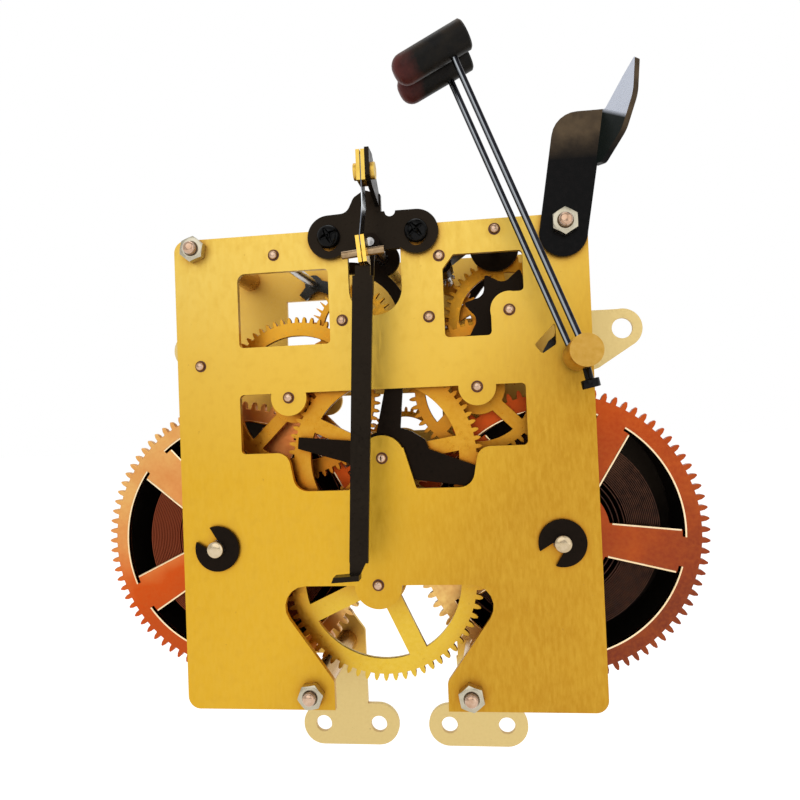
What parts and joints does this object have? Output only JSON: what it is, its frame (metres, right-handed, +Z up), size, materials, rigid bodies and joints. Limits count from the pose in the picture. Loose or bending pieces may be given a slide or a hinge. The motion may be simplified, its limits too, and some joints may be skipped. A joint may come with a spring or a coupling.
{
  "type": "clock movement",
  "caption": "Spring-driven pendulum clock movement with time and strike trains between brass plates, twin hammers, pendulum leader, mounting lugs and feet.",
  "frame": {"origin": "midpoint between the two upper lug holes, in the front plate's mounting face", "axes": "+X right as seen from behind, +Y from the back plate to the dial side, +Z up"},
  "size_m": [0.1551, 0.0829, 0.1805],
  "materials": {
    "brass": "rolled and lacquered",
    "wheel_brass": "stamped",
    "copper_brass": "lacquered, coppery",
    "hub_brass": "turned",
    "steel": "turned",
    "nut_steel": "zinc plated",
    "black_steel": "black oxide, satin",
    "drum_black": "black, satin",
    "spring_steel": "blued and oiled strip",
    "ribbon_steel": "bright strip"
  },
  "bodies": {
    "frame": {"back_plate": "brass", "front_plate": "brass", "pillars": "brass", "rear_nuts": "nut_steel", "front_nuts": "nut_steel", "suspension_bracket": "black_steel", "suspension_screws": "black_steel", "suspension_chops": "brass", "suspension_spring": "ribbon_steel", "hook_bracket": "black_steel", "studs": "steel", "click_screws": "steel", "click_springs": "spring_steel"},
    "time_barrel": {"time_great_wheel": "copper_brass", "time_barrel_drum": "drum_black", "time_mainspring": "spring_steel"},
    "time_winder": {"time_winding_arbor": "steel", "time_ratchet_wheel": "steel", "time_arbor_clip": "black_steel"},
    "time_click_lever": {"time_click": "black_steel"},
    "intermediate": {"intermediate_wheel": "wheel_brass", "intermediate_arbor": "steel"},
    "centre": {"centre_wheel": "wheel_brass", "centre_arbor": "steel", "cannon_pinion": "brass"},
    "minute_work": {"minute_wheel": "wheel_brass"},
    "hour_work": {"hour_wheel": "wheel_brass"},
    "third": {"third_wheel": "wheel_brass", "third_arbor": "wheel_brass"},
    "escape": {"escape_wheel": "wheel_brass", "escape_arbor": "steel"},
    "pallets": {"pallet_arbor": "steel", "anchor": "black_steel", "crutch": "black_steel"},
    "pendulum": {"pendulum_leader": "black_steel", "leader_chops": "brass"},
    "strike_barrel": {"strike_great_wheel": "copper_brass", "strike_barrel_drum": "drum_black", "strike_mainspring": "spring_steel"},
    "strike_winder": {"strike_winding_arbor": "steel", "strike_ratchet_wheel": "steel", "strike_arbor_clip": "black_steel"},
    "strike_click_lever": {"strike_click": "black_steel"},
    "second": {"second_wheel": "wheel_brass", "second_arbor": "steel"},
    "star": {"star_wheel": "wheel_brass", "lifting_star": "black_steel", "star_arbor": "steel"},
    "locking": {"locking_wheel": "wheel_brass", "locking_arbor": "steel"},
    "fly_group": {"fly": "black_steel", "fly_arbor": "steel"},
    "hammers": {"hammer_arbor": "steel", "hammer_hub": "hub_brass", "hub_screw": "black_steel", "hammer_rods": "steel", "hammer_heads": "black_steel"},
    "strike_lever_body": {"strike_lever": "black_steel"},
    "lift_lever_body": {"lift_lever": "steel"},
    "lock_lever_body": {"lock_lever": "black_steel"}
  },
  "joints": [
    {"name": "centre_turn", "type": "hinge", "parent": "frame", "child": "centre", "pos_m": [0, -0.023, -0.0323], "axis": [0, 1, 0], "continuous": true},
    {"name": "time_barrel_turn", "type": "hinge", "parent": "frame", "child": "time_barrel", "pos_m": [-0.0412, -0.023, -0.053], "axis": [0, 1, 0], "continuous": true},
    {"name": "intermediate_turn", "type": "hinge", "parent": "frame", "child": "intermediate", "pos_m": [-0.002, -0.023, -0.0623], "axis": [0, 1, 0], "continuous": true},
    {"name": "third_turn", "type": "hinge", "parent": "frame", "child": "third", "pos_m": [-0.0222, -0.023, -0.017], "axis": [0, 1, 0], "continuous": true},
    {"name": "escape_turn", "type": "hinge", "parent": "frame", "child": "escape", "pos_m": [-0.0083, -0.023, 0.001], "axis": [0, 1, 0], "continuous": true},
    {"name": "minute_wheel_turn", "type": "hinge", "parent": "frame", "child": "minute_work", "pos_m": [0.01115, -0.023, -0.04234], "axis": [0, 1, 0], "continuous": true},
    {"name": "hour_wheel_turn", "type": "hinge", "parent": "frame", "child": "hour_work", "pos_m": [0, -0.023, -0.0323], "axis": [0, 1, 0], "continuous": true},
    {"name": "star_turn", "type": "hinge", "parent": "frame", "child": "star", "pos_m": [0.0314, -0.023, 0.0013], "axis": [0, 1, 0], "continuous": true},
    {"name": "strike_barrel_turn", "type": "hinge", "parent": "frame", "child": "strike_barrel", "pos_m": [0.0412, -0.023, -0.053], "axis": [0, 1, 0], "continuous": true},
    {"name": "second_turn", "type": "hinge", "parent": "frame", "child": "second", "pos_m": [0.0232, -0.023, -0.0163], "axis": [0, 1, 0], "continuous": true},
    {"name": "locking_turn", "type": "hinge", "parent": "frame", "child": "locking", "pos_m": [0.0126, -0.023, 0.0007], "axis": [0, 1, 0], "continuous": true},
    {"name": "fly_turn", "type": "hinge", "parent": "frame", "child": "fly_group", "pos_m": [0.0155, -0.023, 0.015], "axis": [0, 1, 0], "continuous": true},
    {"name": "time_winding", "type": "hinge", "parent": "frame", "child": "time_winder", "pos_m": [-0.0412, -0.023, -0.053], "axis": [0, 1, 0], "continuous": true},
    {"name": "strike_winding", "type": "hinge", "parent": "frame", "child": "strike_winder", "pos_m": [0.0412, -0.023, -0.053], "axis": [0, 1, 0], "continuous": true},
    {"name": "time_click_lift", "type": "hinge", "parent": "frame", "child": "time_click_lever", "pos_m": [-0.04238, -0.023, -0.03945], "axis": [0, 1, 0], "range_deg": [0, 8], "stiffness_Nm_per_rad": 0.002},
    {"name": "strike_click_lift", "type": "hinge", "parent": "frame", "child": "strike_click_lever", "pos_m": [0.04238, -0.023, -0.03945], "axis": [0, 1, 0], "range_deg": [-8, 0], "stiffness_Nm_per_rad": 0.002},
    {"name": "pendulum_swing", "type": "hinge", "parent": "frame", "child": "pendulum", "pos_m": [0, -0.055, 0.0242], "axis": [0, 1, 0], "range_deg": [-6.5, 0.5], "deforming": ["suspension_spring"]},
    {"name": "pallet_rock", "type": "hinge", "parent": "frame", "child": "pallets", "pos_m": [0, -0.023, 0.0182], "axis": [0, 1, 0], "range_deg": [-9.75, 0.75]},
    {"name": "hammer_lift", "type": "hinge", "parent": "frame", "child": "hammers", "pos_m": [0.0463, -0.023, -0.0104], "axis": [0, 1, 0], "range_deg": [0, 12]},
    {"name": "strike_lever_turn", "type": "hinge", "parent": "frame", "child": "strike_lever_body", "pos_m": [0, -0.023, -0.0323], "axis": [0, 1, 0], "range_deg": [-4, 4]},
    {"name": "lift_lever_turn", "type": "hinge", "parent": "frame", "child": "lift_lever_body", "pos_m": [-0.0247, -0.023, 0.0178], "axis": [0, 1, 0], "range_deg": [-5, 5]},
    {"name": "lock_lever_turn", "type": "hinge", "parent": "frame", "child": "lock_lever_body", "pos_m": [0.0287, -0.023, 0.0204], "axis": [0, 1, 0], "range_deg": [-5, 5]}
  ],
  "couplings": [
    {"joint": "intermediate_turn", "follows": "centre_turn", "ratio": -0.25},
    {"joint": "time_barrel_turn", "follows": "centre_turn", "ratio": 0.035714},
    {"joint": "third_turn", "follows": "centre_turn", "ratio": -6},
    {"joint": "escape_turn", "follows": "centre_turn", "ratio": 48},
    {"joint": "minute_wheel_turn", "follows": "centre_turn", "ratio": -0.33333},
    {"joint": "hour_wheel_turn", "follows": "centre_turn", "ratio": 0.083333},
    {"joint": "second_turn", "follows": "star_turn", "ratio": -0.16667},
    {"joint": "strike_barrel_turn", "follows": "star_turn", "ratio": 0.02381},
    {"joint": "locking_turn", "follows": "star_turn", "ratio": -6.25},
    {"joint": "fly_turn", "follows": "star_turn", "ratio": 37.5},
    {"joint": "pallet_rock", "follows": "pendulum_swing", "ratio": 1.5}
  ]
}
